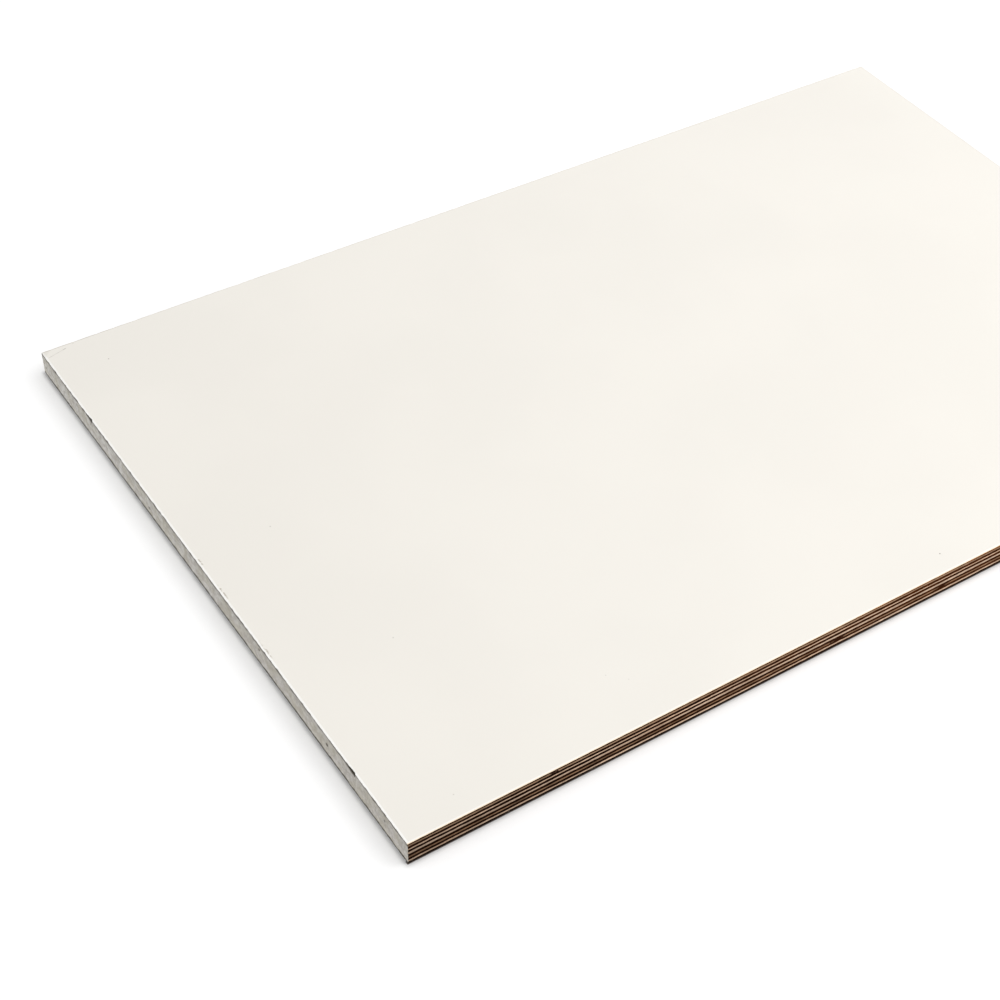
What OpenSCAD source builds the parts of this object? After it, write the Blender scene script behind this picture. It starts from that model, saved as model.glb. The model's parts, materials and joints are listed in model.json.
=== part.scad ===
/* [Panel] */
// Length of the panel
panel_length = 750; // [300:5:2440]
// Width of the panel
panel_width = 500; // [150:5:1220]

/* [Melamine faces] */
// Thickness of the melamine film on each side
film_thickness = 0.3; // [0.15:0.05:1]

/* [Veneers] */
// Thickness of the face and back veneers, beside the films
face_thickness = 0.95; // [0.3:0.05:3]
// Thickness of the outermost two veneers with their grain along the panel
outer_long_veneer = 1.85; // [0.6:0.05:4]
// Thickness of the two thinner veneers with their grain along the panel
inner_long_veneer = 1.6; // [0.6:0.05:4]
// Thickness of the centre veneer
centre_thickness = 2.2; // [0.6:0.1:4]
// Thickness of the four inner veneers with their grain across the panel
cross_veneer = 1.6; // [0.6:0.05:4]

/* [End seal] */
// Thickness of the coat over the veneers' ends, at the sealed short end
seal_thickness = 0.3; // [0.1:0.1:3]

/* [Hidden] */
// The layers from the underside up, then the seal
NODES = [
    "bottom_melamine_face",
    "back_veneer",
    "long_grain_veneer_4",
    "cross_grain_veneer_4",
    "long_grain_veneer_3",
    "cross_grain_veneer_3",
    "centre_veneer",
    "cross_grain_veneer_2",
    "long_grain_veneer_2",
    "cross_grain_veneer_1",
    "long_grain_veneer_1",
    "face_veneer",
    "top_melamine_face",
    "end_seal"
];

film_colour = [0.95, 0.93, 0.90];
long_grain_colour = [0.70, 0.60, 0.51];
cross_grain_colour = [0.18, 0.09, 0.04];
seal_colour = [0.66, 0.65, 0.62];

// Thickness of each layer, in the order of NODES
layers = [
    film_thickness,
    face_thickness,
    outer_long_veneer,
    cross_veneer,
    inner_long_veneer,
    cross_veneer,
    centre_thickness,
    cross_veneer,
    inner_long_veneer,
    cross_veneer,
    outer_long_veneer,
    face_thickness,
    film_thickness
];

// Place of a named layer in the stack
function place_of(name) = search([name], NODES)[0];

// Height of a layer's underside above the panel's underside
function height_below(place) = place == 0 ? 0 : height_below(place - 1) + layers[place - 1];

core_base = height_below(place_of("back_veneer"));
core_top = height_below(place_of("top_melamine_face"));

// A film covers the whole panel, the seal too.
// The origin is at the middle of the panel's underside.
module film(name) {
    place = place_of(name);
    color(film_colour)
        translate([-panel_length / 2, -panel_width / 2, height_below(place)])
            cube([panel_length, panel_width, layers[place]]);
}

// A veneer runs from the seal to the far end
module veneer(name) {
    place = place_of(name);
    translate([-panel_length / 2 + seal_thickness, -panel_width / 2, height_below(place)])
        cube([panel_length - seal_thickness, panel_width, layers[place]]);
}

// Grain along the panel: its long edges are pale
module long_grain(name) {
    color(long_grain_colour) veneer(name);
}

// Grain across the panel: its long edges are dark end grain
module cross_grain(name) {
    color(cross_grain_colour) veneer(name);
}

// The coat over the veneers' ends, between the two films
module end_seal() {
    color(seal_colour)
        translate([-panel_length / 2, -panel_width / 2, core_base])
            cube([seal_thickness, panel_width, core_top - core_base]);
}

film("bottom_melamine_face");  // bottom_melamine_face
cross_grain("back_veneer");  // back_veneer
long_grain("long_grain_veneer_4");  // long_grain_veneer_4
cross_grain("cross_grain_veneer_4");  // cross_grain_veneer_4
long_grain("long_grain_veneer_3");  // long_grain_veneer_3
cross_grain("cross_grain_veneer_3");  // cross_grain_veneer_3
long_grain("centre_veneer");  // centre_veneer
cross_grain("cross_grain_veneer_2");  // cross_grain_veneer_2
long_grain("long_grain_veneer_2");  // long_grain_veneer_2
cross_grain("cross_grain_veneer_1");  // cross_grain_veneer_1
long_grain("long_grain_veneer_1");  // long_grain_veneer_1
cross_grain("face_veneer");  // face_veneer
film("top_melamine_face");  // top_melamine_face
end_seal();
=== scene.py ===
import json
from collections import namedtuple
from math import cos, radians, sin, sqrt

import bmesh
import bpy
from bpy.props import FloatProperty, FloatVectorProperty, IntProperty, PointerProperty
from bpy.types import NodeSocket, Operator, Panel, PropertyGroup
from mathutils import Color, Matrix, Quaternion, Vector, noise


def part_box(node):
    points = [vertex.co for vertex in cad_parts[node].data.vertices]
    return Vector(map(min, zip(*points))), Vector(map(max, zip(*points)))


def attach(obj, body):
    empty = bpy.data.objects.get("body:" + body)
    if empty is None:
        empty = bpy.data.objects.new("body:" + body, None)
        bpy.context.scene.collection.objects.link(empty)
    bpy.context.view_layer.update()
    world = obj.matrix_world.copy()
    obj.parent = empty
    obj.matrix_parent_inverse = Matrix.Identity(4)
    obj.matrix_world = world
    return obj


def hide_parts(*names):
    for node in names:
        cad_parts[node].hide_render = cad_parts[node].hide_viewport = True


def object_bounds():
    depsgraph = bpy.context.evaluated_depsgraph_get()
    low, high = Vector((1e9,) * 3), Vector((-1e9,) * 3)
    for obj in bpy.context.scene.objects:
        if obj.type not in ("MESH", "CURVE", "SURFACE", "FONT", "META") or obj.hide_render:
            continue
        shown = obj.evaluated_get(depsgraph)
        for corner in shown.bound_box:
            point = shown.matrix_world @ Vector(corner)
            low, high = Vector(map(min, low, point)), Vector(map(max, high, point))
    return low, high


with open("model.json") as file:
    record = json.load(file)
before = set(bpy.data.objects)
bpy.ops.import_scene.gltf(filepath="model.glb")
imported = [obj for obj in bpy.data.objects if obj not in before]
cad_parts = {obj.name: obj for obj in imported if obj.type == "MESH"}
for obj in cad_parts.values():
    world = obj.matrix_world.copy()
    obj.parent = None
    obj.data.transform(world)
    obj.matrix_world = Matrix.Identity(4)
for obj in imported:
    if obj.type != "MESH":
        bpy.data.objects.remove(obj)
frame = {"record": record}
CAD_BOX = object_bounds()

bl_info = {
    "name": "Melamine Faced Panel",
    "version": (1, 0, 0),
    "blender": (4, 5, 0),
    "location": "View3D > Sidebar > Melamine Panel",
    "description": "Builds the films, veneers and end seal of a melamine faced plywood panel",
    "category": "Add Mesh",
}

# A millimetre. Tables of marks are in millimetres, from the middle of the panel's underside
MM = 0.001

# The panel's sides, in the order in which an outline is walked, seen from above
FRONT, FAR_END, REAR, SEALED_END = range(4)

# The layout of a piece's texture map, which the export looks for under this name
MAP_NAME = "OFBake"
# What a mesh holds for each point: how torn or dirty it is, and its share of the piece's height
WEAR = "wear"
RISE = "rise"

# A place on an outline, the way to the inside from it, and its side of the panel
Station = namedtuple("Station", "place inward side")
# Areas of a plate's texture map for its faces and its edge, each as left, bottom, right and top
Layout = namedtuple("Layout", "lower upper edge")
# Strips of a grid, one over another on the texture map: the cells in each, the lowest one's bottom
# and the height of each
Strips = namedtuple("Strips", "rows columns bottom height")
# Rows that a plate's edge is laid out in on the texture map, and the share left free on each side
EDGE_ROWS = 25
ROW_MARGIN = 0.08
# The finished pieces share this name and are numbered. Their meshes are named after their nodes
PIECE_NAME = "rise"


def tint(red, green, blue):
    """Scene-linear colour of a tint written with numbers from 0 to 255."""
    return tuple(Color((red / 255, green / 255, blue / 255)).from_srgb_to_scene_linear())


# ---------------------------------------------------------------- settings


class FilmSettings(PropertyGroup):
    """The melamine films on the two faces"""

    colour: FloatVectorProperty(
        name="Film", description="Off-white of the film",
        subtype="COLOR", min=0, max=1, default=tint(243, 239, 231))
    # Painted highlight: a paler line on the film's arris along the front edge and the sealed end
    edge_highlight_colour: FloatVectorProperty(
        name="Edge", description="Paler line beside the front edge and the sealed end",
        subtype="COLOR", min=0, max=1, default=tint(255, 254, 250))
    chip_colour: FloatVectorProperty(
        name="Chips", description="Grey tan that shows where the film is pitted or chipped",
        subtype="COLOR", min=0, max=1, default=tint(176, 168, 154))
    speck_colour: FloatVectorProperty(
        name="Specks", description="Grey of the specks and of the scratch",
        subtype="COLOR", min=0, max=1, default=tint(150, 144, 134))
    cut_colour: FloatVectorProperty(
        name="Cut edge", description="Warm cream of the upper film's cut edge along the front",
        subtype="COLOR", min=0, max=1, default=tint(255, 232, 200))
    # Dirt and painted contact shade on the cut edge of the lower film, where it meets the floor
    dirt_and_shade_colour: FloatVectorProperty(
        name="Dirt", description="Dirt on the cut edge of the lower film",
        subtype="COLOR", min=0, max=1, default=tint(26, 16, 9))
    roughness: FloatProperty(
        name="Roughness", description="Roughness of the satin surface",
        subtype="FACTOR", min=0, max=1, default=0.42)
    arris: FloatProperty(
        name="Arris", description="Width of the eased arris round the face",
        unit="LENGTH", min=0.01 * MM, default=0.2 * MM)
    waviness: FloatProperty(
        name="Waviness", description="How far the face dips between its high spots",
        unit="LENGTH", min=0, default=0.03 * MM)
    chip_depth: FloatProperty(
        name="Chip depth", description="How far the deepest chips reach in from the edge",
        unit="LENGTH", min=0, default=0.8 * MM)
    pit_depth: FloatProperty(
        name="Pit depth", description="Depth of the deepest pits in the face beside its edge",
        unit="LENGTH", min=0, default=0.12 * MM)
    notch_depth: FloatProperty(
        name="Notch depth", description="How far the film is broken back where a split ends",
        unit="LENGTH", min=0, default=0.9 * MM)
    cells: IntProperty(
        name="Cells", description="Cells along the longer side of the film's grid",
        min=4, default=60)
    steps: IntProperty(
        name="Steps", description="Steps along the edge in each cell of the grid",
        min=2, default=17)


class VeneerSettings(PropertyGroup):
    """The veneers between the films"""

    side_colour: FloatVectorProperty(
        name="Side grain", description="Pale tan of wood sawn along its grain",
        subtype="COLOR", min=0, max=1, default=tint(239, 206, 177))
    side_streak_colour: FloatVectorProperty(
        name="Streaks", description="Brown of the streaks and pores in the side grain",
        subtype="COLOR", min=0, max=1, default=tint(194, 152, 120))
    end_colour: FloatVectorProperty(
        name="End grain", description="Dark brown of wood sawn across its grain",
        subtype="COLOR", min=0, max=1, default=tint(46, 19, 3))
    end_pore_colour: FloatVectorProperty(
        name="Pores", description="Near black of the open pores in the end grain",
        subtype="COLOR", min=0, max=1, default=tint(14, 5, 1))
    glue_colour: FloatVectorProperty(
        name="Glue", description="Dark resin glue between two veneers",
        subtype="COLOR", min=0, max=1, default=tint(27, 10, 2))
    corner_shade: FloatProperty(
        name="Corner shade", description="How light the wood is at the sealed end",
        subtype="FACTOR", min=0, max=1, default=0.58)
    # The end grain and the glue grow lighter away from the sealed end, up to this factor
    far_end_lightness: FloatProperty(
        name="Bleaching", description="How light the end grain is away from the sealed end",
        min=0, default=5.0)
    knot_colour: FloatVectorProperty(
        name="Knots", description="Red brown of the knots",
        subtype="COLOR", min=0, max=1, default=tint(46, 21, 12))
    dust_colour: FloatVectorProperty(
        name="Dust", description="Grey of the dust in the splits at the sealed end",
        subtype="COLOR", min=0, max=1, default=tint(104, 99, 86))
    straying: FloatProperty(
        name="Straying", description="How far the glue lines stray up and down",
        unit="LENGTH", min=0, default=0.5 * MM)
    arris: FloatProperty(
        name="Arris", description="Width of the worn arris along each glue line",
        unit="LENGTH", min=0, default=0.12 * MM)
    end_relief: FloatProperty(
        name="End grain relief", description="How far the saw's roughness goes into the end grain",
        unit="LENGTH", min=0, default=0.16 * MM)
    side_relief: FloatProperty(
        name="Side grain relief", description="How far the streaks go into the side grain",
        unit="LENGTH", min=0, default=0.08 * MM)
    tear_depth: FloatProperty(
        name="Tear depth", description="Depth of the places where the saw tore the fibres out",
        unit="LENGTH", min=0, default=0.4 * MM)
    cells: IntProperty(
        name="Cells", description="Cells along the longer side of a veneer's grid",
        min=4, default=30)
    steps: IntProperty(
        name="Steps", description="Steps along the edge in each cell of the grid",
        min=2, default=30)


class SealSettings(PropertyGroup):
    """The grey coat over one short end"""

    rear_colour: FloatVectorProperty(
        name="Seal at the rear", description="Cooler, paler grey of the coat towards the rear edge",
        subtype="COLOR", min=0, max=1, default=tint(222, 220, 215))
    colour: FloatVectorProperty(
        name="Seal", description="Warm grey of the coat",
        subtype="COLOR", min=0, max=1, default=tint(212, 208, 202))
    shade_colour: FloatVectorProperty(
        name="Shade", description="Darker grey of the coat where it is thin",
        subtype="COLOR", min=0, max=1, default=tint(188, 183, 175))
    tint_colour: FloatVectorProperty(
        name="Stains", description="Olive grey of the faint stains in the coat",
        subtype="COLOR", min=0, max=1, default=tint(190, 184, 163))
    # Dirt in the dents, and painted shade in the strips under the upper film and over the lower one
    dirt_and_shade_colour: FloatVectorProperty(
        name="Dirt", description="Dirt in the dents and along the films",
        subtype="COLOR", min=0, max=1, default=tint(70, 63, 52))
    relief: FloatProperty(
        name="Relief", description="How far the coat's unevenness goes in",
        unit="LENGTH", min=0, default=0.08 * MM)
    dent_depth: FloatProperty(
        name="Dent depth", description="Depth of the dents and of the groove under the upper film",
        unit="LENGTH", min=0, default=0.12 * MM)
    # Painted shade under the upper film; the groove in the coat reaches as far
    upper_shade_strip: FloatProperty(
        name="Upper dirt", description="Height of the dirty strip under the upper film",
        unit="LENGTH", min=0, default=2.2 * MM)
    # Painted contact shade along the coat's foot, over the lower film
    lower_shade_strip: FloatProperty(
        name="Lower dirt", description="Height of the dirty strip over the lower film",
        unit="LENGTH", min=0, default=2 * MM)
    split_height: FloatProperty(
        name="Split height", description="How far down the wider split under the film reaches",
        unit="LENGTH", min=0, default=3 * MM)
    split_depth: FloatProperty(
        name="Split depth", description="How far the splits under the film go into the veneers",
        unit="LENGTH", min=0, default=1.4 * MM)
    step: FloatProperty(
        name="Step", description="Spacing of the coat's grid",
        unit="LENGTH", min=0.2 * MM, default=0.7 * MM)


class StageSettings(PropertyGroup):
    """The floor, the lamps and the camera"""

    floor_colour: FloatVectorProperty(
        name="Floor", description="Pale floor",
        subtype="COLOR", min=0, max=1, default=tint(235, 235, 235))
    floor_radius: FloatProperty(
        name="Floor radius", description="How far the floor reaches all round",
        unit="LENGTH", min=1, default=6)
    floor_glow: FloatProperty(
        name="Floor glow", description="Light added to the floor where it is looked at",
        subtype="FACTOR", min=0, max=1, default=0.3)
    # Painted shadow on the floor under the sawn front edge
    seam_shadow_colour: FloatVectorProperty(
        name="Seam", description="Floor in the shade right under the sawn front edge",
        subtype="COLOR", min=0, max=1, default=tint(64, 48, 36))
    seam: FloatProperty(
        name="Seam width", description="How far the seam reaches from under the front edge",
        unit="LENGTH", min=0.01 * MM, default=0.8 * MM)
    contact: FloatProperty(
        name="Contact shadow", description="Width of the strip of floor with no added light",
        unit="LENGTH", min=0.1 * MM, default=4 * MM)
    clearance: FloatProperty(
        name="Clearance", description="From the floor up to the panel",
        unit="LENGTH", min=0, default=0.5 * MM)
    ambient: FloatProperty(
        name="Ambient", description="Strength of the even light from all round",
        subtype="FACTOR", min=0, max=1, default=0.72)
    lamp_size: FloatProperty(
        name="Lamp size", description="Side of each square lamp",
        unit="LENGTH", min=0.01, default=1.4)
    key_power: FloatProperty(
        name="Key lamp", description="Power of the soft lamp over the far end",
        unit="POWER", min=0, default=11.5)
    key_place: FloatVectorProperty(
        name="Key place", description="Place of the key lamp",
        subtype="XYZ", unit="LENGTH", default=(0.8, -0.3, 1.6))
    fill_power: FloatProperty(
        name="Fill lamp", description="Power of the soft lamp in front of the panel",
        unit="POWER", min=0, default=5)
    fill_place: FloatVectorProperty(
        name="Fill place", description="Place of the fill lamp",
        subtype="XYZ", unit="LENGTH", default=(0.9, -1.4, 1.2))
    lens: FloatProperty(
        name="Lens", description="Focal length",
        subtype="DISTANCE_CAMERA", min=1, default=69.5)
    azimuth: FloatProperty(
        name="Azimuth", description="Turn of the camera round the panel",
        subtype="ANGLE", default=radians(-36.8))
    elevation: FloatProperty(
        name="Elevation", description="Height of the camera as an angle above the floor",
        subtype="ANGLE", default=radians(45.89))
    roll: FloatProperty(
        name="Roll", description="Turn of the camera about its own axis",
        subtype="ANGLE", default=radians(3.64))
    distance: FloatProperty(
        name="Distance", description="From the camera to what it is aimed at",
        subtype="DISTANCE", unit="LENGTH", min=0.1, default=1.2208)
    target: FloatVectorProperty(
        name="Target", description="Point on the upper face that the camera is aimed at",
        subtype="XYZ", unit="LENGTH", default=(-0.1796, -0.1304, 0.018))
    shift: FloatVectorProperty(
        name="Shift", description="Shift of the lens, as a share of the picture's width",
        size=2, default=(-0.0770, 0.0796))


# ---------------------------------------------------------------- meshes


class Shape:
    """A piece's mesh while it is being built"""

    def __init__(self):
        self.points = []
        self.wear = []
        self.rises = []
        self.faces = []
        self.slots = []
        self.spots = []

    def add_point(self, point, wear=0.0, rise=0.0):
        """Adds a point and returns its number. rise is its share of the piece's thickness."""
        self.points.append(point)
        self.wear.append(wear)
        self.rises.append(rise)
        return len(self.points) - 1

    def add_face(self, corners, spots, slot=0):
        """Adds a face from its points' numbers and their spots on the texture map."""
        self.faces.append(corners)
        self.spots.extend(spots)
        self.slots.append(slot)

    def to_object(self, mesh_name, materials):
        """Links the mesh to the scene as an object with these materials."""
        mesh = bpy.data.meshes.new(mesh_name)
        mesh.from_pydata(self.points, [], self.faces)
        for material in materials:
            mesh.materials.append(material)
        mesh.polygons.foreach_set("material_index", self.slots)
        texture_map = mesh.uv_layers.new(name=MAP_NAME)
        texture_map.data.foreach_set("uv", [value for spot in self.spots for value in spot])
        for attribute, values in ((WEAR, self.wear), (RISE, self.rises)):
            mesh.attributes.new(attribute, "FLOAT", "POINT").data.foreach_set("value", values)
        mesh.polygons.foreach_set("use_smooth", [True] * len(mesh.polygons))
        mesh.set_sharp_from_angle(angle=radians(35))
        mesh.update()
        piece = bpy.data.objects.new(PIECE_NAME, mesh)
        bpy.context.scene.collection.objects.link(piece)
        return piece


def outline(low, high, inset, cells, steps):
    """Stations round a rectangle drawn in by an inset, counter-clockwise from its low corner."""
    left, right = low.x + inset, high.x - inset
    near, far = low.y + inset, high.y - inset
    places = ((left, near), (right, near), (right, far), (left, far))
    corners = [Vector((x, y, 0)) for x, y in places]
    inwards = [Vector(way) for way in ((0, 1, 0), (-1, 0, 0), (0, -1, 0), (1, 0, 0))]
    stations = []
    for side in (FRONT, FAR_END, REAR, SEALED_END):
        count = cells[side % 2] * steps
        for i in range(count):
            place = corners[side].lerp(corners[(side + 1) % 4], i / count)
            inward = inwards[side] if i else inwards[side] + inwards[side - 1]
            stations.append(Station(place, inward, side))
    return stations


def rim_of(columns, rows):
    """Grid places round the rim of a grid, walked as an outline is."""
    return (
        [(i, 0) for i in range(columns)]
        + [(columns, j) for j in range(rows)]
        + [(i, rows) for i in range(columns, 0, -1)]
        + [(0, j) for j in range(rows, 0, -1)]
    )


def flat_spot(point, low, high, area):
    """Spot on the texture map of a point on one of a plate's two faces."""
    left, bottom, right, top = area
    return (
        left + (right - left) * (point[0] - low.x) / (high.x - low.x),
        bottom + (top - bottom) * (point[1] - low.y) / (high.y - low.y),
    )


def edge_spot(cell, along, up, cell_count, area):
    """Spot on the texture map of a point on a plate's edge, which is laid out in rows."""
    left, bottom, right, top = area
    cells_per_row = -(-cell_count // EDGE_ROWS)
    row, column = divmod(cell, cells_per_row)
    raised = row + ROW_MARGIN + (1 - 2 * ROW_MARGIN) * up
    return (
        left + (right - left) * (column + along) / cells_per_row,
        bottom + (top - bottom) * raised / EDGE_ROWS,
    )


def build_plate(low, high, profile, relief, slot_of_side, cells, steps, margin, layout):
    """A closed plate: rings walked round its outline, joined up its edge, and a grid on each face.

    profile holds each ring's inset and height, from the lower face round the edge to the upper one.
    relief(place, side, inset) gives how far in and up a point moves there, and its wear.
    slot_of_side holds the number of the material on each side's edge. cells counts the cells of
    the faces' grids each way, and steps the points along the edge in each cell.
    """
    shape = Shape()
    thickness = high.z - low.z
    rings = []
    for inset, height in profile:
        stations = outline(low, high, inset, cells, steps)
        ring = []
        for place, inward, side in stations:
            at = Vector((place.x, place.y, height))
            cut, lift, wear = relief(at, side, inset)
            moved = at + inward * cut + Vector((0, 0, lift))
            ring.append(shape.add_point(moved, wear, (height - low.z) / thickness))
        rings.append(ring)
    count = len(stations)
    cell_count = count // steps

    for band in range(len(rings) - 1):
        lower, upper = rings[band], rings[band + 1]
        heights = [profile[band][1], profile[band + 1][1]]
        for i in range(count):
            after = (i + 1) % count
            corners = (lower[i], lower[after], upper[after], upper[i])
            if heights[0] == heights[1]:
                area = layout.lower if heights[0] == low.z else layout.upper
                spots = [flat_spot(shape.points[corner], low, high, area) for corner in corners]
                shape.add_face(corners, spots)
                continue
            cell, step = divmod(i, steps)
            bottom, top = ((height - low.z) / thickness for height in heights)
            spots = [
                edge_spot(cell, along / steps, up, cell_count, layout.edge)
                for along, up in ((step, bottom), (step + 1, bottom), (step + 1, top), (step, top))
            ]
            shape.add_face(corners, spots, slot_of_side[stations[i].side])

    for ring, height, area, turn in (
            (rings[0], low.z, layout.lower, -1), (rings[-1], high.z, layout.upper, 1)):
        add_cover(shape, ring, low, high, height, relief, cells, steps, margin, area, turn)
    return shape


def add_cover(shape, ring, low, high, height, relief, cells, steps, margin, area, turn):
    """Closes a plate's face inside a ring with a grid. turn is 1 on the upper face, -1 below."""
    columns, rows = cells
    near = Vector((low.x + margin, low.y + margin, height))
    far = Vector((high.x - margin, high.y - margin, height))
    grid = {}
    for i in range(columns + 1):
        for j in range(rows + 1):
            at = Vector((
                near.x + (far.x - near.x) * i / columns,
                near.y + (far.y - near.y) * j / rows,
                height,
            ))
            lift = relief(at, None, margin)[1]
            grid[i, j] = shape.add_point(at + Vector((0, 0, lift)))

    faces = [
        (grid[i, j], grid[i + 1, j], grid[i + 1, j + 1], grid[i, j + 1])
        for i in range(columns) for j in range(rows)
    ]
    rim = [grid[place] for place in rim_of(columns, rows)]
    for k in range(len(rim)):
        outer = [ring[(k * steps + step) % len(ring)] for step in range(steps + 1)]
        faces.append((*outer, rim[(k + 1) % len(rim)], rim[k]))
    for face in faces:
        corners = face[::turn]
        spots = [flat_spot(shape.points[corner], low, high, area) for corner in corners]
        shape.add_face(corners, spots)


def rolling(place, size, seed=0.0):
    """Smooth noise from -1 to 1 with bumps about size across: one length, or one for each axis."""
    sizes = size if isinstance(size, Vector) else Vector((size, size, size))
    return noise.noise(Vector((place.x / sizes.x, place.y / sizes.y, place.z / sizes.z + seed)))


def hump(distance, reach):
    """1 at no distance, falling smoothly to 0 at reach."""
    share = min(1.0, abs(distance) / reach)
    return (1 - share * share) ** 2


def replace_node(shape, node, materials):
    """Puts a finished shape in the place of the CAD node that it stands for."""
    piece = shape.to_object(node + "_finish", materials)
    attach(piece, "root")
    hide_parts(node)


def nodes_in(slot):
    """The CAD nodes that have a material slot."""
    return [part["node"] for part in frame["record"]["subparts"] if part["material_slot"] == slot]


# Splits under the upper film at the sealed end: from and to across the panel, and how wide they get
SPLITS = ((-181, -191.5, 1.0), (177, 166, 0.75))


def split_opening(y):
    """From 0 to 1, how far open a split is: it widens along its length and ends bluntly."""
    blunt_share = 0.12
    opening = 0.0
    for start, end, width in SPLITS:
        share = (y / MM - start) / (end - start)
        if 0 < share < 1:
            blunt = sqrt(min(1.0, (1 - share) / blunt_share))
            ragged = 0.85 + 0.3 * noise.noise(Vector((y / (1.6 * MM), 0.5, 0.5)))
            opening = max(opening, width * share * blunt * ragged)
    return opening


# ---------------------------------------------------------------- shader nodes


class Finish:
    """A material while it is being put together from shader nodes"""

    def __init__(self, name):
        self.material = bpy.data.materials.new(name)
        self.material.use_nodes = True
        self.tree = self.material.node_tree
        self.shader = self.tree.nodes["Principled BSDF"]
        self.place = self.add("ShaderNodeTexCoord").outputs["Object"]

    def feed(self, socket, value):
        """Links a socket to another node's output, or sets its own value."""
        if isinstance(value, NodeSocket):
            self.tree.links.new(value, socket)
        else:
            socket.default_value = value

    def add(self, kind, sockets=None, **settings):
        """Adds a node, sets it up, and feeds its sockets."""
        made = self.tree.nodes.new(kind)
        for key, value in settings.items():
            setattr(made, key, value)
        for key, value in (sockets or {}).items():
            self.feed(made.inputs[key], value)
        return made

    def maths(self, operation, *values, clamp=False):
        """One sum on one to three values."""
        sockets = dict(enumerate(values))
        return self.add("ShaderNodeMath", sockets, operation=operation, use_clamp=clamp).outputs[0]

    def vector(self, operation, *values, output="Vector"):
        """One sum on vectors."""
        made = self.add("ShaderNodeVectorMath", dict(enumerate(values)), operation=operation)
        return made.outputs[output]

    def axes(self, vector):
        """A vector's X, Y and Z."""
        return self.add("ShaderNodeSeparateXYZ", {0: vector}).outputs

    def sized(self, sizes):
        """The place in units of these sizes, so that a pattern's marks come out about that big."""
        return self.vector("DIVIDE", self.place, sizes)

    def clouds(self, sizes, detail=2.0, roughness=0.5):
        """Noise from 0 to 1 whose marks are about as big as these sizes."""
        made = self.add("ShaderNodeTexNoise", {
            "Vector": self.sized(sizes), "Scale": 1.0, "Detail": detail, "Roughness": roughness})
        return made.outputs[0]

    def pores(self, sizes, share):
        """1 in round pores of about these sizes, which fill about a share of their cells."""
        made = self.add("ShaderNodeTexVoronoi", {
            "Vector": self.sized(sizes), "Scale": 1.0, "Randomness": 1.0}, feature="F1")
        return self.between(made.outputs["Distance"], share, share * 0.6)

    def between(self, value, low, high, to_low=0.0, to_high=1.0):
        """Turns a value from low to high smoothly into one from to_low to to_high."""
        made = self.add("ShaderNodeMapRange", {
            "Value": value, "From Min": low, "From Max": high, "To Min": to_low, "To Max": to_high,
        }, interpolation_type="SMOOTHSTEP")
        return made.outputs[0]

    def blend(self, share, colour, other):
        """A colour with a share of another one in it."""
        made = self.add("ShaderNodeMix", {0: share}, data_type="RGBA")
        for key, value in ((6, colour), (7, other)):
            self.feed(made.inputs[key], value if isinstance(value, NodeSocket) else (*value, 1.0))
        return made.outputs[2]

    def lighten(self, colour, light):
        """A colour made lighter or darker by a factor."""
        made = self.add("ShaderNodeVectorMath", {0: colour, "Scale": light}, operation="SCALE")
        return made.outputs["Vector"]

    def attribute(self, name):
        """A number that the mesh holds for each point."""
        return self.add("ShaderNodeAttribute", attribute_name=name).outputs["Fac"]

    def bump(self, height, distance):
        """A normal for fine relief that is about distance deep."""
        sockets = {"Height": height, "Distance": distance, "Strength": 1.0}
        return self.add("ShaderNodeBump", sockets).outputs["Normal"]

    def done(self, colour, roughness, normal, specular=0.5):
        """Feeds the shader and returns the material."""
        self.feed(self.shader.inputs["Base Color"], colour)
        self.feed(self.shader.inputs["Roughness"], roughness)
        self.feed(self.shader.inputs["Normal"], normal)
        self.shader.inputs["Specular IOR Level"].default_value = specular
        return self.material


# ---------------------------------------------------------------- melamine films

# Specks on the upper face: place along and across the panel, and how dark each is
SPECKS = (
    (-338, 220, 1.2), (-321, 13, 0.75), (-303, -112, 0.65), (-335, -234, 0.5), (-210, -206, 0.35),
    (-200, -216, 0.3), (34, -235, 1.6),
)
# Ends of the scratch beside the corner at the sealed end
SCRATCH = ((-373, 242), (-358, 246))
# Rows of pits just inside the edge at the sealed end: from and to, across the panel
PIT_ROWS = ((3, 12), (-32, -14), (-90, -68))
# Rows of pits just inside the rear edge: middle and length
REAR_PITS = ((-352, 5), (200, 8), (235, 4), (343, 4), (360, 3), (371, 4))
# How much of the chip depth each side's edge shows
CHIPPED = {FRONT: 0.15, FAR_END: 0.25, REAR: 0.45, SEALED_END: 0.6}
# Insets of the rings of points on a film's face, close together where the pits are
FACE_RINGS = (0.5, 0.9, 1.3, 1.7, 2.1, 3.0)


def edge_distances(finish):
    """How far a place is from each side of the panel, in the order of the sides."""
    x, y, _ = finish.axes(finish.place)
    low, high = CAD_BOX
    return (
        finish.maths("SUBTRACT", y, low.y),
        finish.maths("SUBTRACT", high.x, x),
        finish.maths("SUBTRACT", high.y, y),
        finish.maths("SUBTRACT", x, low.x),
    )


def speck_mask(finish):
    """How dark the specks are, and 0 beside them."""
    mask = 0.0
    for x, y, darkness in SPECKS:
        spot = (x * MM, y * MM, CAD_BOX[1].z)
        distance = finish.vector("DISTANCE", finish.place, spot, output="Value")
        speck = finish.between(distance, 0.65 * MM, 0.25 * MM, 0.0, darkness)
        mask = finish.maths("MAXIMUM", mask, speck)
    return mask


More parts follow.
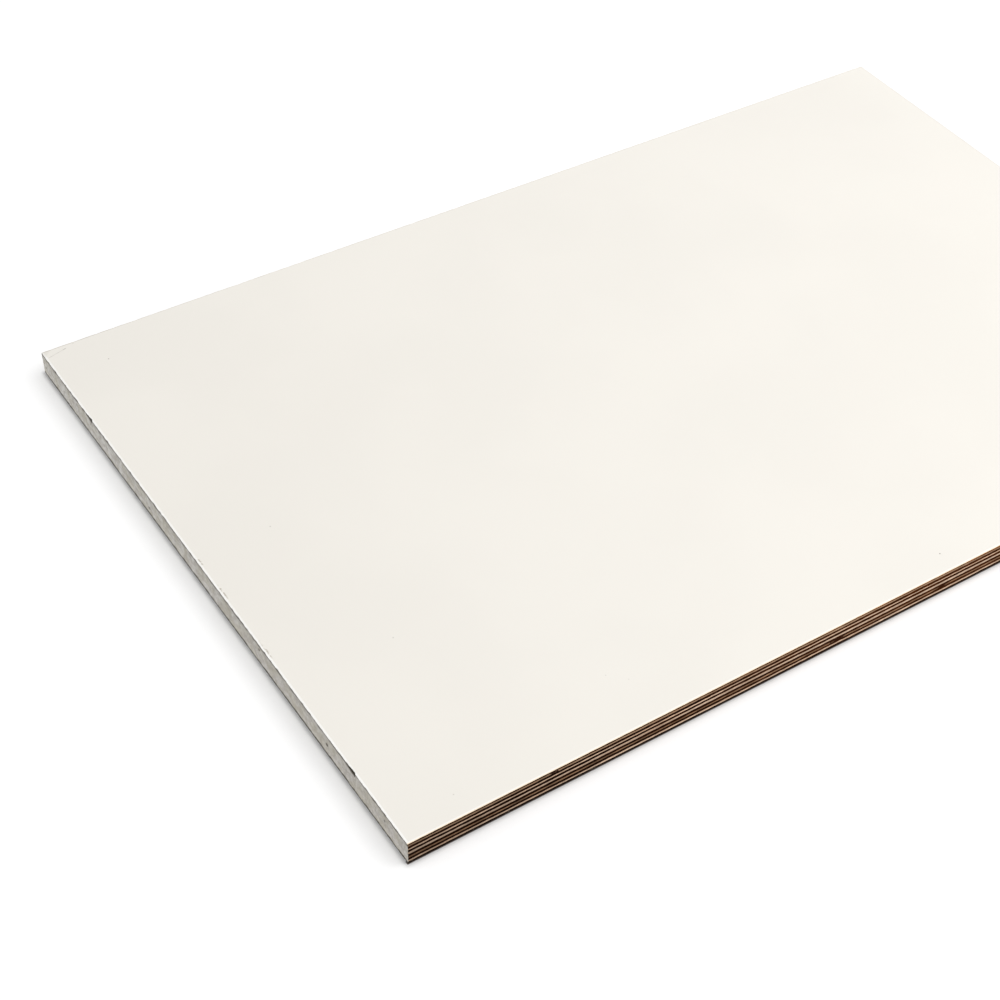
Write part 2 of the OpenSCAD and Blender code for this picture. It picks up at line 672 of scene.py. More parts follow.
def scratch_mask(finish):
    """1 at the heavy end of the scratch, fading along it, and broken up in places."""
    start, end = (Vector((x * MM, y * MM, 0)) for x, y in SCRATCH)
    way = (end - start).normalized()
    length = (end - start).length
    from_start = finish.vector("SUBTRACT", finish.place, tuple(start))
    along = finish.vector("DOT_PRODUCT", from_start, tuple(way), output="Value")
    across = finish.vector("DOT_PRODUCT", from_start, (-way.y, way.x, 0), output="Value")
    from_end = finish.maths("SUBTRACT", length, along)
    near = finish.between(finish.maths("ABSOLUTE", across), 0.55 * MM, 0.15 * MM)
    heavy = finish.between(along, 0.5 * length, 0.85 * length, 0.5, 0.9)
    inside = finish.between(finish.maths("MINIMUM", along, from_end), 0, MM)
    broken = finish.between(finish.clouds((2 * MM,) * 3), 0.35, 0.6, 0.4, 1.0)
    share = finish.maths("MULTIPLY", finish.maths("MULTIPLY", near, inside), heavy)
    return finish.maths("MULTIPLY", share, broken)


def film_material(film):
    """Satin off-white melamine with a painted highlight along the front edge and the sealed end,
    pits, specks and a scratch.
    """
    finish = Finish("melamine film")
    drift = finish.clouds((140 * MM,) * 3, detail=3)
    shaded = tuple(channel * 0.98 for channel in film.colour)
    colour = finish.blend(finish.between(drift, 0.35, 0.65), film.colour, shaded)

    front, far_end, rear, sealed_end = edge_distances(finish)
    shown_sides = finish.maths("MINIMUM", front, sealed_end)
    other_sides = finish.maths("MINIMUM", rear, far_end)
    # Painted highlight: the film is paler within about 1.8 mm of the front edge and the sealed end
    pale = finish.between(shown_sides, 1.8 * MM, 0.8 * MM)
    colour = finish.blend(pale, colour, film.edge_highlight_colour)
    # The film is greyer within about a millimetre of the rear edge and the far end, less so away
    # from the sealed end
    dull = finish.between(other_sides, 1.2 * MM, 0.4 * MM)
    dull = finish.maths("MULTIPLY", dull, finish.between(sealed_end, 20 * MM, 90 * MM, 0.55, 0.25))
    colour = finish.blend(dull, colour, film.chip_colour)
    rubbed_corner = finish.between(finish.maths("ADD", rear, sealed_end), 9 * MM, 4 * MM)
    faint = finish.between(drift, 0.3, 0.7, 0.1, 0.2)
    rubbed_corner = finish.maths("MULTIPLY", rubbed_corner, faint)
    colour = finish.blend(rubbed_corner, colour, film.chip_colour)

    marks = finish.maths("MAXIMUM", speck_mask(finish), scratch_mask(finish))
    colour = finish.blend(finish.maths("MULTIPLY", marks, 0.6), colour, film.speck_colour)
    ragged = finish.maths("MULTIPLY", finish.clouds((0.6 * MM,) * 3), 0.5)
    worn = finish.maths("ADD", finish.attribute(WEAR), finish.maths("SUBTRACT", ragged, 0.25))
    colour = finish.blend(finish.between(worn, 0.2, 0.7, 0.0, 0.75), colour, film.chip_colour)

    cut_edge = finish.between(front, 0.9 * MM, 0.05 * MM)
    colour = finish.blend(cut_edge, colour, film.cut_colour)
    # Dirt and painted contact shade: the lower film is dark within half a millimetre of its rim
    rim = finish.between(finish.maths("MINIMUM", shown_sides, other_sides), 0.5 * MM, 0.15 * MM)
    lower_film = finish.between(finish.axes(finish.place)["Z"], MM, 0.5 * MM)
    colour = finish.blend(finish.maths("MULTIPLY", rim, lower_film), colour, film.dirt_and_shade_colour)

    spread = finish.clouds((25 * MM,) * 3, detail=4)
    roughness = finish.between(spread, 0.3, 0.7, film.roughness - 0.05, film.roughness + 0.05)
    grain = finish.bump(finish.clouds((1.4 * MM,) * 3, detail=3), 0.012 * MM)
    return finish.done(colour, roughness, grain)


def edge_pits(place, side):
    """From 0 to 1, how badly the film is pitted just inside its edge."""
    if side == SEALED_END:
        for start, end in PIT_ROWS:
            middle, length = (start + end) / 2, end - start
            row = hump(place.y / MM - middle, 0.7 * length)
            if row:
                pitted = 3 * max(0.0, rolling(place, 1.5 * MM, seed=5.0) + 0.2)
                return row * min(1.0, pitted)
    if side == REAR:
        return max(
            hump(place.x - middle * MM, length * MM / 2) * (0.4 + 0.2 * rolling(place, 1.5 * MM))
            for middle, length in REAR_PITS
        )
    return 0.0


def film_relief(film, outward, middle):
    """Relief of a film whose outer face looks up, with outward at 1, or down, at -1."""
    wave_size = 110 * MM
    chip_size, chip_reach = 4 * MM, 3 * MM
    pit_size, pit_inset = MM, 1.7 * MM

    def relief(place, side, inset):
        outer_face = (place.z - middle) * outward > 0
        sink = film.waviness * (0.5 + 0.5 * rolling(place, wave_size)) if outer_face else 0.0
        if side is None:
            return 0.0, -outward * sink, 0.0
        on_edge = Vector((place.x, place.y, 0))
        fading = max(0.0, 1 - inset / chip_reach)
        chip = CHIPPED[side] * max(0.0, rolling(on_edge, chip_size) + 0.1)
        cut = film.chip_depth * chip * fading
        if outward > 0 and side == SEALED_END:
            cut += film.notch_depth * split_opening(place.y) * fading
        if not outer_face or outward < 0:
            return cut, -outward * sink, 0.0
        pit = edge_pits(on_edge, side) * hump(inset - pit_inset, pit_size)
        return cut, -outward * (sink + film.pit_depth * pit), pit

    return relief


def build_film(node, film, material):
    """A film with a chipped edge, rings close together near that edge, and a slightly wavy face."""
    low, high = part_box(node)
    outward = 1 if low.z > CAD_BOX[0].z else -1
    inner, outer = (low.z, high.z) if outward > 0 else (high.z, low.z)
    profile = [
        (0.0, inner),
        (0.0, outer - outward * film.arris),
        (0.3 * film.arris, outer - 0.3 * outward * film.arris),
        (film.arris, outer),
        *((inset * MM, outer) for inset in FACE_RINGS),
    ][::outward]
    cells = (film.cells, round(film.cells * (high.y - low.y) / (high.x - low.x)))
    shown, hidden = (0.0, 0.0, 1.0, 0.65), (0.0, 0.78, 0.34, 1.0)
    layout = Layout(
        lower=hidden if outward > 0 else shown,
        upper=shown if outward > 0 else hidden,
        edge=(0.0, 0.66, 1.0, 0.77),
    )
    relief = film_relief(film, outward, (low.z + high.z) / 2)
    shape = build_plate(
        low, high, profile, relief, (0,) * 4, cells, film.steps, margin=6 * MM, layout=layout)
    replace_node(shape, node, [material])


class PANEL_OT_melamine_faces(Operator):
    """Build the films on the upper and lower faces"""

    bl_idname = "melamine_panel.melamine_faces"
    bl_label = "Melamine Faces"

    def execute(self, context):
        film = context.scene.panel_film
        material = film_material(film)
        for node in nodes_in("melamine_film"):
            build_film(node, film, material)
        return {"FINISHED"}


# ---------------------------------------------------------------- veneers

# How light the red, green and blue of a veneer's wood are against the others, where they differ
TONES = {
    "face_veneer": (4.4, 5.3, 6.2),
    "long_grain_veneer_1": (0.58, 0.52, 0.46),
    "long_grain_veneer_2": (1.12, 1.11, 1.1),
    "centre_veneer": (0.87, 0.89, 0.91),
    "long_grain_veneer_3": (0.52, 0.43, 0.35),
    "long_grain_veneer_4": (1.01, 1.02, 1.03),
    "back_veneer": (0.3, 0.3, 0.3),
}
# Veneers whose wood is dark in patches
PATCHY = ("long_grain_veneer_3",)
# Knots on the front edge: veneer, middle along the panel, and length along it
KNOTS = (
    ("long_grain_veneer_1", -276, 7),
    ("long_grain_veneer_3", -62, 15),
    ("long_grain_veneer_3", 25, 7),
    ("face_veneer", -284, 11),
)


def strayed(place, height, veneers):
    """How far a glue line strays from its own height at a place, and not at all beside a film."""
    low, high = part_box("end_seal")
    if min(height - low.z, high.z - height) < 0.1 * MM:
        return 0.0
    own_course = 1.7 * height / MM
    on_plan = Vector((place.x, place.y, 0))
    wide = rolling(on_plan, 45 * MM, seed=own_course)
    fine = rolling(on_plan, 13 * MM, seed=own_course + 0.5)
    return veneers.straying * (0.7 * wide + 0.3 * fine)


def split_cut(seal, place):
    """How far in a split goes behind a place on the sealed end."""
    opening = split_opening(place.y)
    if not opening:
        return 0.0
    above = place.z - (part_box("end_seal")[1].z - seal.split_height * opening)
    share = min(1.0, max(0.0, above / (0.5 * MM) + 0.5))
    return seal.split_depth * share * min(1.0, 2 * opening)


def end_grain_relief(place, veneers):
    """Rough, torn end grain: how far in it goes, and how torn it is."""
    rough = 0.5 + 0.5 * rolling(place, 1.8 * MM)
    torn = max(0.0, rolling(place, 5 * MM, seed=9.0) - 0.3) / 0.5
    return veneers.end_relief * (0.3 + 0.7 * rough) + veneers.tear_depth * torn * rough, torn


def side_grain_relief(place, grain, veneers):
    """Streaky side grain: how far in it goes, and how torn it is."""
    streaks = Vector((1.1 * MM, 1.1 * MM, 0.7 * MM))
    streaks[grain] = 40 * MM
    streaky = 0.5 + 0.5 * rolling(place, streaks)
    splinters = Vector((1.5 * MM, 1.5 * MM, 0.8 * MM))
    splinters[grain] = 11 * MM
    torn = max(0.0, rolling(place, splinters, seed=3.0) - 0.5) / 0.5
    return veneers.side_relief * streaky + 0.5 * veneers.tear_depth * torn, torn


def knot_relief(node, place, veneers):
    """How far in the saw tore a knot out of the front edge of a veneer."""
    low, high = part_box(node)
    across = hump(place.z - (low.z + high.z) / 2, 0.6 * (high.z - low.z))
    depth = 0.0
    for knotted, middle, length in KNOTS:
        if knotted == node:
            along = hump(place.x - middle * MM, length * MM / 2)
            depth = max(depth, along * across * (0.6 + 0.4 * rolling(place, 1.4 * MM)))
    return 1.5 * veneers.tear_depth * depth


def veneer_relief(node, grain, veneers, seal):
    """Relief of a sawn veneer whose grain runs along one axis, 0 or 1."""
    low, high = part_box(node)
    # Sets each veneer's relief apart from its neighbours'
    own_relief = 40 * low.z

    def relief(place, side, _):
        if side is None:
            return 0.0, 0.0, 0.0
        share = (place.z - low.z) / (high.z - low.z)
        lower, upper = (strayed(place, height, veneers) for height in (low.z, high.z))
        lift = (1 - share) * lower + share * upper
        if side == SEALED_END:
            return split_cut(seal, place), lift, 0.0
        at = Vector((place.x, place.y, place.z + own_relief))
        # The grain's ends show at the far end if it runs along the panel, and at the sides if not
        if (side == FAR_END) == (grain == 0):
            cut, torn = end_grain_relief(at, veneers)
        else:
            cut, torn = side_grain_relief(at, grain, veneers)
        if side == FRONT:
            cut += knot_relief(node, place, veneers)
        return cut, lift, torn

    return relief


def glue_mask(finish, thickness):
    """1 in the glue at the lower and upper faces of a veneer, narrower in a thin one."""
    rise = finish.attribute(RISE)
    nearest = finish.maths("MINIMUM", rise, finish.maths("SUBTRACT", 1.0, rise))
    ragged = finish.between(finish.clouds((4 * MM, 4 * MM, MM)), 0.3, 0.7, 0.65, 1.35)
    distance = finish.maths("DIVIDE", finish.maths("MULTIPLY", nearest, thickness), ragged)
    width = min(0.4 * MM, 0.25 * thickness)
    return finish.between(distance, width, 0.5 * width)


def knot_mask(finish, node):
    """1 in a veneer's knots, which show on its front edge."""
    x, y, _ = finish.axes(finish.place)
    half_height = 0.55
    up = finish.maths("SUBTRACT", finish.attribute(RISE), 0.5)
    up = finish.maths("DIVIDE", up, half_height)
    ragged = finish.between(finish.clouds((1.2 * MM,) * 3), 0.3, 0.7, -0.3, 0.3)
    mask = 0.0
    for knotted, middle, length in KNOTS:
        if knotted == node:
            along = finish.maths("SUBTRACT", x, middle * MM)
            along = finish.maths("DIVIDE", along, length * MM / 2)
            place = finish.add("ShaderNodeCombineXYZ", {0: along, 1: up}).outputs[0]
            distance = finish.maths("ADD", finish.vector("LENGTH", place, output="Value"), ragged)
            mask = finish.maths("MAXIMUM", mask, finish.between(distance, 1.0, 0.6))
    front = finish.between(y, CAD_BOX[0].y + 4 * MM, CAD_BOX[0].y + 2 * MM)
    return finish.maths("MULTIPLY", mask, front)


def along_panel(finish, start, end, to_start, to_end):
    """Turns distances from the sealed end between start and end into to_start to to_end."""
    low = CAD_BOX[0].x
    return finish.between(finish.axes(finish.place)["X"], low + start, low + end, to_start, to_end)


def shaded_corner(finish, veneers):
    """How light the side grain is: darker towards the sealed end."""
    return along_panel(finish, -40 * MM, 220 * MM, veneers.corner_shade, 1.0)


def lighter_from_sealed_end(finish, veneers):
    """How light the end grain and the glue are: darkest towards the sealed end."""
    return along_panel(finish, 100 * MM, 420 * MM, 1.0, veneers.far_end_lightness)


def finish_wood(finish, node, colour, veneers):
    """The colour of a veneer's wood with its knots, its glue lines and the dust in the splits."""
    low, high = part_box(node)
    if node in TONES:
        colour = finish.vector("MULTIPLY", colour, TONES[node])
    if any(knotted == node for knotted, _, _ in KNOTS):
        colour = finish.blend(knot_mask(finish, node), colour, veneers.knot_colour)
    glue = finish.lighten(veneers.glue_colour, lighter_from_sealed_end(finish, veneers))
    colour = finish.blend(glue_mask(finish, high.z - low.z), colour, glue)
    x, y, _ = finish.axes(finish.place)
    at_sealed_end = finish.between(x, low.x + 2.5 * MM, low.x + 2 * MM, 0.0, 0.85)
    behind_front = finish.between(y, low.y + 3 * MM, low.y + 6 * MM)
    dusty = finish.maths("MULTIPLY", at_sealed_end, behind_front)
    return finish.blend(dusty, colour, veneers.dust_colour)


def along_grain(grain, long, fine):
    """Sizes of a mark that is long along one axis and fine along the others."""
    sizes = [fine, fine, fine]
    sizes[grain] = long
    return tuple(sizes)


def side_grain_material(node, grain, veneers):
    """Pale wood with streaks, fine pores, faint saw marks, and its own patches and knots."""
    finish = Finish(node + " side grain")
    streaks = finish.clouds(along_grain(grain, 60 * MM, 0.9 * MM), detail=4, roughness=0.6)
    streaked = finish.between(streaks, 0.42, 0.75)
    colour = finish.blend(streaked, veneers.side_colour, veneers.side_streak_colour)
    broad = finish.clouds(along_grain(grain, 8 * MM, 3 * MM), detail=4, roughness=0.65)
    broad = finish.between(broad, 0.3, 0.7, 0.8, 1.12)
    pores = finish.clouds(along_grain(grain, 3.5 * MM, 0.16 * MM), detail=1)
    pores = finish.between(pores, 0.6, 0.7)
    saw = finish.clouds(along_grain(grain, 1.1 * MM, 9 * MM), detail=1)
    light = finish.maths("MULTIPLY", broad, finish.between(saw, 0.3, 0.7, 0.94, 1.04))
    light = finish.maths("SUBTRACT", light, finish.maths("MULTIPLY", pores, 0.17))
    light = finish.maths("SUBTRACT", light, finish.maths("MULTIPLY", finish.attribute(WEAR), 0.35))
    if node in PATCHY:
        patches = finish.clouds(along_grain(grain, 18 * MM, 5 * MM), detail=2)
        light = finish.maths("MULTIPLY", light, finish.between(patches, 0.35, 0.65, 0.55, 1.1))
    light = finish.maths("MULTIPLY", light, shaded_corner(finish, veneers))
    colour = finish_wood(finish, node, finish.lighten(colour, light), veneers)
    height = finish.maths("ADD", streaks, finish.maths("MULTIPLY", saw, 0.6))
    height = finish.maths("SUBTRACT", height, finish.maths("MULTIPLY", pores, 0.8))
    roughness = finish.between(streaks, 0.3, 0.7, 0.72, 0.86)
    return finish.done(colour, roughness, finish.bump(height, 0.06 * MM), specular=0.05)


def end_grain_material(node, veneers):
    """Dark wood with open pores, growth lines and torn places."""
    finish = Finish(node + " end grain")
    growth = finish.clouds((9 * MM, 9 * MM, 0.45 * MM), detail=3, roughness=0.6)
    lined = finish.between(growth, 0.35, 0.7)
    colour = finish.blend(lined, veneers.end_pore_colour, veneers.end_colour)
    pores = finish.pores((0.34 * MM,) * 3, 0.36)
    fibres = finish.clouds((0.18 * MM,) * 3, detail=2)
    light = finish.between(fibres, 0.25, 0.75, 0.7, 1.3)
    light = finish.maths("SUBTRACT", light, finish.maths("MULTIPLY", pores, 0.45))
    light = finish.maths("SUBTRACT", light, finish.maths("MULTIPLY", finish.attribute(WEAR), 0.3))
    light = finish.maths("MULTIPLY", light, lighter_from_sealed_end(finish, veneers))
    colour = finish_wood(finish, node, finish.lighten(colour, light), veneers)
    height = finish.maths("SUBTRACT", fibres, pores)
    roughness = finish.between(growth, 0.3, 0.7, 0.82, 0.92)
    return finish.done(colour, roughness, finish.bump(height, 0.09 * MM), specular=0.0)


def build_veneer(node, grain, veneers, seal):
    """A veneer whose sawn edges show side grain along its grain and end grain across it."""
    low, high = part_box(node)
    arris = veneers.arris
    height = high.z - low.z
    middle_rings = 3 if height > 1.2 * MM else 1
    profile = [
        (arris, low.z),
        (0.0, low.z + arris),
        *((0.0, low.z + height * (i + 1) / (middle_rings + 1)) for i in range(middle_rings)),
        (0.0, high.z - arris),
        (arris, high.z),
    ]
    slot_of_side = (0, 1, 0, 1) if grain == 0 else (1, 0, 1, 0)
    cells = (veneers.cells, round(veneers.cells * (high.y - low.y) / (high.x - low.x)))
    layout = Layout(
        lower=(0.0, 0.7, 0.49, 1.0), upper=(0.51, 0.7, 1.0, 1.0), edge=(0.0, 0.0, 1.0, 0.69))
    shape = build_plate(
        low, high, profile, veneer_relief(node, grain, veneers, seal), slot_of_side, cells,
        veneers.steps, margin=8 * MM, layout=layout)
    materials = [side_grain_material(node, grain, veneers), end_grain_material(node, veneers)]
    replace_node(shape, node, materials)


class PANEL_OT_long_grain_veneers(Operator):
    """Build the veneers whose grain runs along the panel"""

    bl_idname = "melamine_panel.long_grain_veneers"
    bl_label = "Long Grain Veneers"

    def execute(self, context):
        for node in nodes_in("long_grain_veneer"):
            build_veneer(node, 0, context.scene.panel_veneers, context.scene.panel_seal)
        return {"FINISHED"}


class PANEL_OT_cross_grain_veneers(Operator):
    """Build the veneers whose grain runs across the panel"""

    bl_idname = "melamine_panel.cross_grain_veneers"
    bl_label = "Cross Grain Veneers"

    def execute(self, context):
        for node in nodes_in("cross_grain_veneer"):
            build_veneer(node, 1, context.scene.panel_veneers, context.scene.panel_seal)
        return {"FINISHED"}


# ---------------------------------------------------------------- end seal

# Dents in the seal: place across the panel, height, radius, and how dirty or, below 0, how pale
DENTS = (
    (-224.6, 10.8, 1.4, 1.4), (-158, 9.4, 1.6, 3.5), (-189.5, 1.6, 1.4, 1.0),
    (-73.8, 13.0, 1.6, 1.6), (80.5, 6.2, 1.8, 1.3), (246, 7, 1.4, 0.8),
    (-190.5, 13, 1.3, -1.0), (-200, 4.3, 1.2, -0.8),
)


def seal_relief(seal, place, up):
    """How far in the coat goes at a place and how dirty it is, with up its share of the height."""
    low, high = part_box("end_seal")
    rollers = 0.5 + 0.5 * rolling(place, Vector((MM, 22 * MM, 1.3 * MM)))
    patches = 0.5 + 0.5 * rolling(place, 6 * MM, seed=2.0)
    dent, dirt = 0.0, 0.0
    for y, z, radius, dirty in DENTS:
        near = hump((Vector((y * MM, z * MM)) - place.yz).length, radius * MM)
        dent = max(dent, near)
        dirt += near * dirty
    groove = hump((1 - up) * (high.z - low.z), seal.upper_shade_strip)
    sunk = seal.relief * (0.6 * rollers + 0.4 * patches) + seal.dent_depth * max(dent, groove)
    return sunk, dirt


def build_seal(seal):
    """The coat: an outer grid that follows the splits under the film, and a flat inner one."""
    low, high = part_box("end_seal")
    columns = round((high.y - low.y) / seal.step)
    rows = round((high.z - low.z) / seal.step)
    shape = Shape()
    outer, inner = {}, {}
    for i in range(columns + 1):
        y = low.y + (high.y - low.y) * i / columns
        top = high.z - seal.split_height * split_opening(y)
        for j in range(rows + 1):
            up = j / rows
            place = Vector((low.x, y, low.z + (top - low.z) * up))
            cut, dirt = seal_relief(seal, place, up)
            outer[i, j] = shape.add_point(place + Vector((cut, 0, 0)), dirt, up)
            inner[i, j] = shape.add_point(Vector((high.x, place.y, place.z)), 0.0, up)

    outer_strips = Strips(rows, columns=-(-columns // 5), bottom=0.0, height=0.19)
    inner_strip = Strips(rows, columns, bottom=0.96, height=0.04)
    for i in range(columns):
        for j in range(rows):
            add_seal_face(shape, outer, i, j, outer_strips, -1)
            add_seal_face(shape, inner, i, j, inner_strip, 1)
    add_seal_rim(shape, outer, inner, rim_of(columns, rows))
    replace_node(shape, "end_seal", [seal_material(seal)])


def add_seal_face(shape, grid, i, j, strips, turn):
    """Adds one face of the coat's grid. turn is 1 if the grid is seen from the far end, or -1."""
    filled = 0.98
    strip, column = divmod(i, strips.columns)
    corners = (grid[i, j], grid[i + 1, j], grid[i + 1, j + 1], grid[i, j + 1])
    spots = []
    for across, up in ((column, j), (column + 1, j), (column + 1, j + 1), (column, j + 1)):
        raised = strip + filled * up / strips.rows
        spots.append((across / strips.columns, strips.bottom + strips.height * raised))
    shape.add_face(corners[::turn], spots[::turn])


def add_seal_rim(shape, outer, inner, rim):
    """Joins the coat's two grids round their rim, which is laid out in lines one over another."""
    line_count, bottom, spacing = 4, 0.952, 0.001
    width = line_count / len(rim)
    for k, place in enumerate(rim):
        after = rim[(k + 1) % len(rim)]
        corners = (outer[place], outer[after], inner[after], inner[place])
        line, left = divmod(k * width, 1)
        height = bottom + spacing * line
        right = left + width
        shape.add_face(corners, ((left, height), (right, height), (right, height), (left, height)))


def seal_material(seal):
    """Matt warm grey coat, mottled, with painted light towards its foot, painted shade towards its
    upper edge and in strips under the upper film and over the lower one, and dirt in its dents.
    """
    finish = Finish("end seal")
    streaks = finish.clouds((10 * MM, 12 * MM, 2 * MM), detail=3)
    patches = finish.clouds((4 * MM,) * 3, detail=5, roughness=0.7)
    mottle = finish.maths("MULTIPLY_ADD", streaks, 0.15, finish.maths("MULTIPLY", patches, 0.85))
    rear = finish.between(finish.axes(finish.place)["Y"], CAD_BOX[0].y, CAD_BOX[1].y)
    colour = finish.blend(rear, seal.colour, seal.rear_colour)
    colour = finish.blend(finish.between(mottle, 0.4, 0.6), colour, seal.shade_colour)
    tinted = finish.between(finish.clouds((12 * MM,) * 3, detail=2), 0.4, 0.65, 0.0, 0.38)
    colour = finish.blend(tinted, colour, seal.tint_colour)
    fine = finish.clouds((1.2 * MM,) * 3, detail=3)
    rise, wear = finish.attribute(RISE), finish.attribute(WEAR)
    light = finish.between(fine, 0.3, 0.7, 0.88, 1.09)
    # Painted light: the coat is lighter towards its foot as if lit from the floor; painted shade
    # makes it darker towards the upper film
    light = finish.maths("MULTIPLY", light, finish.between(rise, 0.1, 0.5, 1.18, 1.0))
    light = finish.maths("MULTIPLY", light, finish.between(rise, 0.5, 1.0, 1.0, 0.92))
    light = finish.maths("MULTIPLY", light, finish.between(wear, -1.0, 0.0, 1.4, 1.0))
    colour = finish.lighten(colour, light)

    low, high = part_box("end_seal")
    wander = finish.between(finish.clouds((MM, 8 * MM, 2 * MM)), 0.3, 0.7, 0.6, 1.3)
    from_below = finish.maths("DIVIDE", rise, wander)
    from_above = finish.maths("DIVIDE", finish.maths("SUBTRACT", 1.0, rise), wander)
    upper_reach = seal.upper_shade_strip / (high.z - low.z)
    lower_reach = seal.lower_shade_strip / (high.z - low.z)
    # Painted shade: dark strips under the upper film and over the lower film; the dents hold real
    # dirt
    upper = finish.between(from_above, upper_reach, 0.4 * upper_reach, 0.0, 0.9)
    lower = finish.between(from_below, lower_reach, 0.5 * lower_reach, 0.0, 0.95)
    dirt = finish.maths("MULTIPLY", wear, finish.between(fine, 0.3, 0.7, 0.6, 1.0), clamp=True)
    dirt = finish.maths("MAXIMUM", dirt, finish.maths("MAXIMUM", upper, lower))
    colour = finish.blend(dirt, colour, seal.dirt_and_shade_colour)
    relief = finish.maths("ADD", fine, streaks)
    roughness = finish.between(patches, 0.3, 0.7, 0.62, 0.74)
    return finish.done(colour, roughness, finish.bump(relief, 0.05 * MM), specular=0.3)


class PANEL_OT_end_seal(Operator):
    """Build the grey coat over the sealed end"""

    bl_idname = "melamine_panel.end_seal"
    bl_label = "End Seal"

    def execute(self, context):
        build_seal(context.scene.panel_seal)
        return {"FINISHED"}


# ---------------------------------------------------------------- stage


def distance_from_panel(finish):
    """How far a place on the floor is from the panel's outline, and 0 under the panel."""
    low, high = CAD_BOX
    middle = (low + high) / 2
    half = (high - low) / 2
    from_middle = finish.vector("ABSOLUTE", finish.vector("SUBTRACT", finish.place, tuple(middle)))
    beyond = finish.vector("SUBTRACT", from_middle, tuple(half))
    outside = finish.vector("MAXIMUM", beyond, (0, 0, 0))
    return finish.vector("LENGTH", finish.vector("MULTIPLY", outside, (1, 1, 0)), output="Value")


def add_white_for_view(finish, shader, glow):
    """Adds light to a stage surface where it is looked at, straight on or in a reflection."""
    path = finish.add("ShaderNodeLightPath").outputs
    seen = finish.maths("MAXIMUM", path["Is Camera Ray"], path["Is Glossy Ray"])
    seen = finish.maths("MAXIMUM", seen, path["Is Transmission Ray"])
    light = finish.add("ShaderNodeEmission", {"Strength": finish.maths("MULTIPLY", seen, glow)})
    both = finish.add("ShaderNodeAddShader", {0: shader, 1: light.outputs[0]})
    finish.tree.links.new(both.outputs[0], finish.tree.nodes["Material Output"].inputs["Surface"])


def build_floor(stage):
    """A round pale floor just under the panel, with a painted shadow in a narrow seam under the
    front edge.
    """
    mesh = bpy.data.meshes.new("floor")
    builder = bmesh.new()
    bmesh.ops.create_circle(builder, cap_ends=True, segments=96, radius=stage.floor_radius)
    builder.to_mesh(mesh)
    builder.free()
    floor = bpy.data.objects.new("floor", mesh)
    floor.location.z = CAD_BOX[0].z - stage.clearance
    bpy.context.scene.collection.objects.link(floor)
    finish = Finish("pale floor")
    distance = distance_from_panel(finish)
    # Painted shadow: the floor is dark in a narrow seam under the front edge
    from_front = finish.maths("SUBTRACT", finish.axes(finish.place)["Y"], CAD_BOX[0].y)
    under_front = finish.between(from_front, 3 * stage.seam, 2 * stage.seam)
    seam = finish.maths("MULTIPLY", finish.between(distance, stage.seam, 0), under_front)
    colour = finish.blend(seam, stage.floor_colour, stage.seam_shadow_colour)
    finish.done(colour, 0.9, finish.bump(finish.clouds((MM,) * 3), 0.01 * MM))
    glow = finish.between(distance, 0, stage.contact, 0, stage.floor_glow)
    add_white_for_view(finish, finish.shader.outputs[0], glow)
    mesh.materials.append(finish.material)


def build_world(stage):
    """Even white light, and a white backdrop where it is looked at."""
    world = bpy.data.worlds.new("studio")
    world.use_nodes = True
    tree = world.node_tree
    background = tree.nodes["Background"]
    background.inputs["Color"].default_value = (1, 1, 1, 1)
    path = tree.nodes.new("ShaderNodeLightPath")
    seen = path.outputs["Is Camera Ray"]
    for name in ("Is Glossy Ray", "Is Transmission Ray"):
        either = tree.nodes.new("ShaderNodeMath")
        either.operation = "MAXIMUM"
        tree.links.new(seen, either.inputs[0])
        tree.links.new(path.outputs[name], either.inputs[1])
        seen = either.outputs[0]
    strength = tree.nodes.new("ShaderNodeMapRange")
    tree.links.new(seen, strength.inputs["Value"])
    strength.inputs["To Min"].default_value = stage.ambient
    tree.links.new(strength.outputs[0], background.inputs["Strength"])
    bpy.context.scene.world = world


def add_lamp(name, place, power, size):
    """A soft square lamp aimed at the middle of the panel."""
    light = bpy.data.lights.new(name, "AREA")
    light.size = size
    light.energy = power
    lamp = bpy.data.objects.new(name, light)
    lamp.location = place
    lamp.rotation_mode = "QUATERNION"
    lamp.rotation_quaternion = (-lamp.location).to_track_quat("-Z", "Y")
    bpy.context.scene.collection.objects.link(lamp)


def add_camera(stage):
    """The camera, by its angles round the point that it is aimed at."""
    back = Vector((
        sin(stage.azimuth) * cos(stage.elevation),
        -cos(stage.azimuth) * cos(stage.elevation),
        sin(stage.elevation),
    ))
    data = bpy.data.cameras.new("camera")
    data.lens = stage.lens
    data.shift_x, data.shift_y = stage.shift
    camera = bpy.data.objects.new("camera", data)
    camera.location = Vector(stage.target) + back * stage.distance
    camera.rotation_mode = "QUATERNION"
    level = (-back).to_track_quat("-Z", "Y")
    camera.rotation_quaternion = level @ Quaternion((0, 0, 1), stage.roll)
    bpy.context.scene.collection.objects.link(camera)
    bpy.context.scene.camera = camera


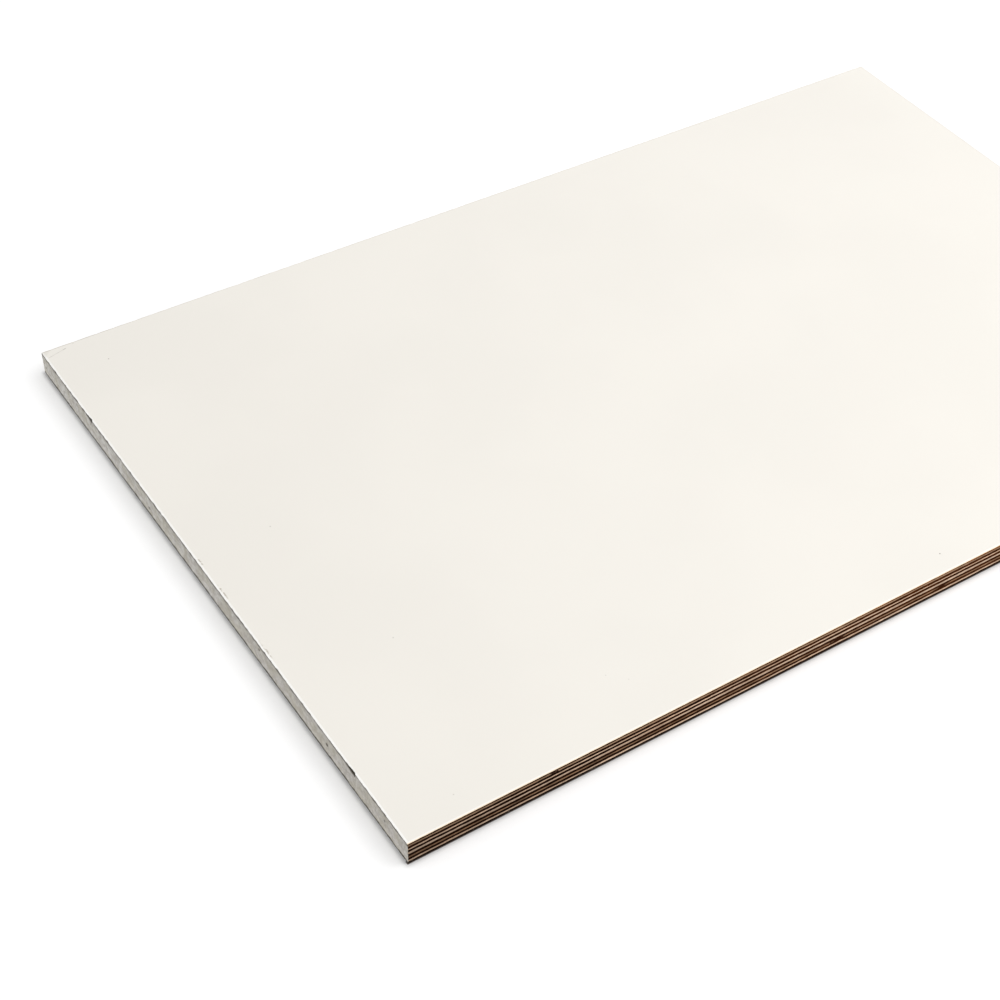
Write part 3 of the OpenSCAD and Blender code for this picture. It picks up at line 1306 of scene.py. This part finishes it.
class PANEL_OT_stage(Operator):
    """Build the floor, the lamps and the camera"""

    bl_idname = "melamine_panel.stage"
    bl_label = "Stage"

    def execute(self, context):
        stage = context.scene.panel_stage
        context.scene.view_settings.view_transform = "Standard"
        build_floor(stage)
        build_world(stage)
        add_lamp("key lamp", stage.key_place, stage.key_power, stage.lamp_size)
        add_lamp("fill lamp", stage.fill_place, stage.fill_power, stage.lamp_size)
        add_camera(stage)
        return {"FINISHED"}


# ---------------------------------------------------------------- sidebar


class VIEW3D_PT_melamine_panel(Panel):
    """Lists the steps that build the panel"""

    bl_label = "Melamine Panel"
    bl_space_type = "VIEW_3D"
    bl_region_type = "UI"
    bl_category = "Melamine Panel"

    def draw(self, context):
        for title, settings, operators in SECTIONS:
            box = self.layout.box()
            box.label(text=title)
            group = getattr(context.scene, settings)
            for name in group.bl_rna.properties.keys():
                if name not in ("rna_type", "name"):
                    box.prop(group, name)
            for operator in operators:
                box.operator(operator.bl_idname)


SETTINGS = {
    "panel_film": FilmSettings,
    "panel_veneers": VeneerSettings,
    "panel_seal": SealSettings,
    "panel_stage": StageSettings,
}

SECTIONS = (
    ("Melamine faces", "panel_film", (PANEL_OT_melamine_faces,)),
    ("Veneers", "panel_veneers", (PANEL_OT_long_grain_veneers, PANEL_OT_cross_grain_veneers)),
    ("End seal", "panel_seal", (PANEL_OT_end_seal,)),
    ("Stage", "panel_stage", (PANEL_OT_stage,)),
)

CLASSES = (
    *SETTINGS.values(),
    PANEL_OT_melamine_faces,
    PANEL_OT_long_grain_veneers,
    PANEL_OT_cross_grain_veneers,
    PANEL_OT_end_seal,
    PANEL_OT_stage,
    VIEW3D_PT_melamine_panel,
)


def register():
    """Registers the classes and hangs the settings on the scene."""
    for made in CLASSES:
        bpy.utils.register_class(made)
    for name, group in SETTINGS.items():
        setattr(bpy.types.Scene, name, PointerProperty(type=group))


def unregister():
    """Takes the settings and the classes away again."""
    for name in SETTINGS:
        delattr(bpy.types.Scene, name)
    for made in reversed(CLASSES):
        bpy.utils.unregister_class(made)


def main():
    """Builds the panel and its stage."""
    register()
    bpy.ops.melamine_panel.melamine_faces()
    bpy.ops.melamine_panel.long_grain_veneers()
    bpy.ops.melamine_panel.cross_grain_veneers()
    bpy.ops.melamine_panel.end_seal()
    bpy.ops.melamine_panel.stage()


if __name__ == "__main__":
    main()
